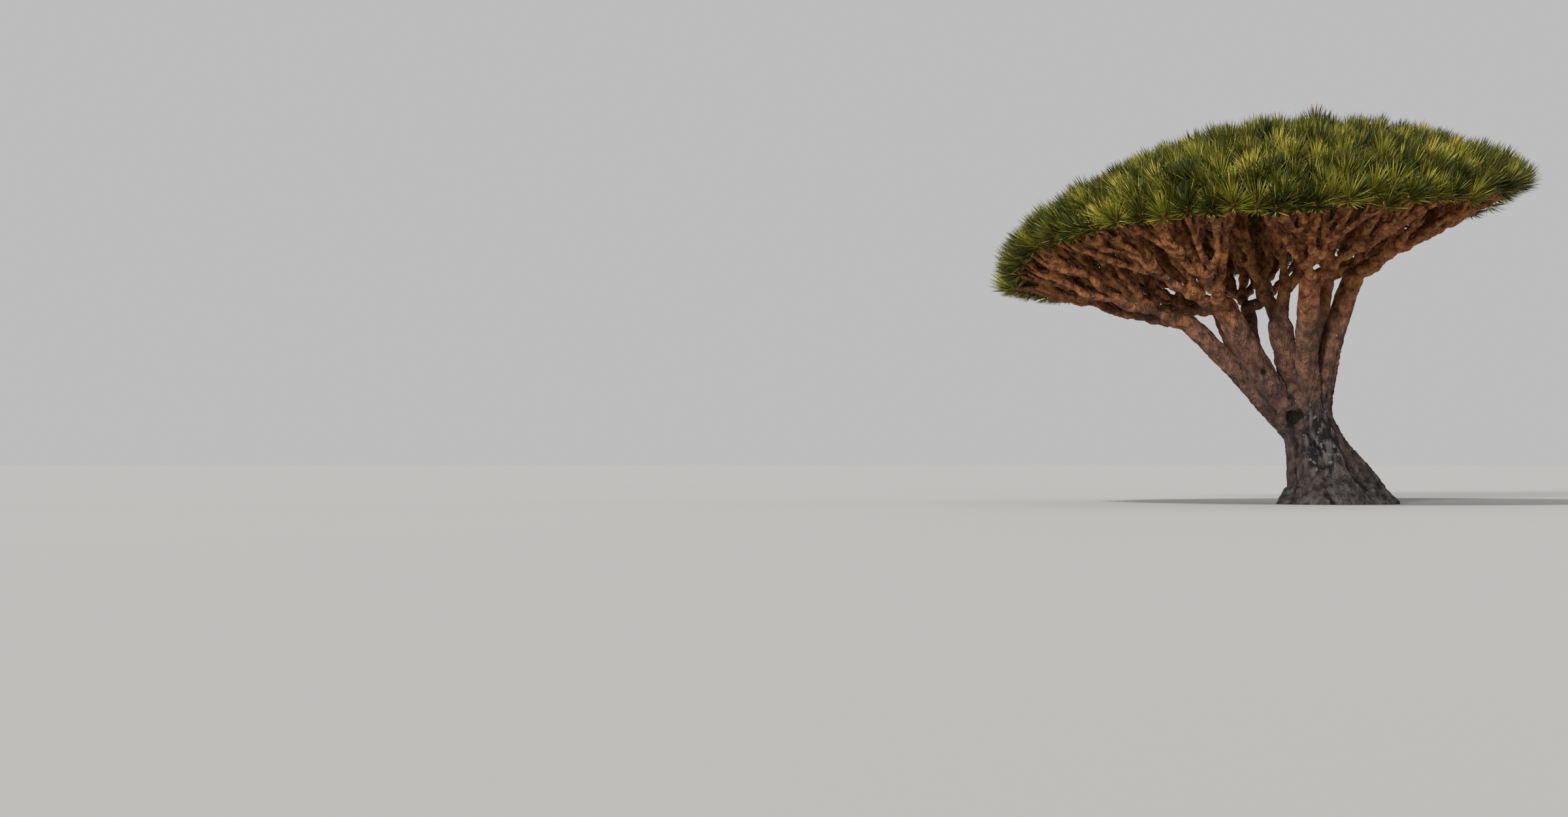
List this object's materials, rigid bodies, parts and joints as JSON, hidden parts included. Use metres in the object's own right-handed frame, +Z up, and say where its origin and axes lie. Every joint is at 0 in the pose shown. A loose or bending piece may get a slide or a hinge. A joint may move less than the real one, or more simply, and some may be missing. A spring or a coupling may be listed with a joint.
{
  "type": "dragon blood tree",
  "caption": "Whole umbrella-shaped tree: a thick leaning trunk, smooth boughs that fork again and again, and a dense dome of stiff sword-leaf rosettes on a tilted rim.",
  "frame": {"origin": "middle of the flat cut under the trunk, at ground level", "axes": "+Z up; -Y towards the viewer of the pictured side; +X to the viewer's right, from the low left rim of the crown to its high right rim"},
  "size_m": [10.6318, 10.1538, 7.5872],
  "materials": {
    "trunk_bark": "rough grey bark with pale lichen",
    "bough_bark": "matt reddish-brown bark",
    "foliage": "satin leathery leaves"
  },
  "bodies": {
    "root": {"trunk": "trunk_bark", "bough_left": "bough_bark", "bough_front_left": "bough_bark", "bough_front_right": "bough_bark", "bough_right": "bough_bark", "bough_back_right": "bough_bark", "bough_back": "bough_bark", "bough_back_left": "bough_bark", "bough_centre": "bough_bark", "branch_left_1": "bough_bark", "branch_left_2": "bough_bark", "branch_front_left_1": "bough_bark", "branch_front_left_2": "bough_bark", "branch_front_right_1": "bough_bark", "branch_front_right_2": "bough_bark", "branch_right_1": "bough_bark", "branch_right_2": "bough_bark", "branch_back_right_1": "bough_bark", "branch_back_right_2": "bough_bark", "branch_back_1": "bough_bark", "branch_back_2": "bough_bark", "branch_back_left_1": "bough_bark", "branch_back_left_2": "bough_bark", "branch_centre_1": "bough_bark", "branch_centre_2": "bough_bark", "foliage_left_1": "foliage", "foliage_left_2": "foliage", "foliage_front_left_1": "foliage", "foliage_front_left_2": "foliage", "foliage_front_right_1": "foliage", "foliage_front_right_2": "foliage", "foliage_right_1": "foliage", "foliage_right_2": "foliage", "foliage_back_right_1": "foliage", "foliage_back_right_2": "foliage", "foliage_back_1": "foliage", "foliage_back_2": "foliage", "foliage_back_left_1": "foliage", "foliage_back_left_2": "foliage", "foliage_centre_1": "foliage", "foliage_centre_2": "foliage"}
  },
  "joints": []
}
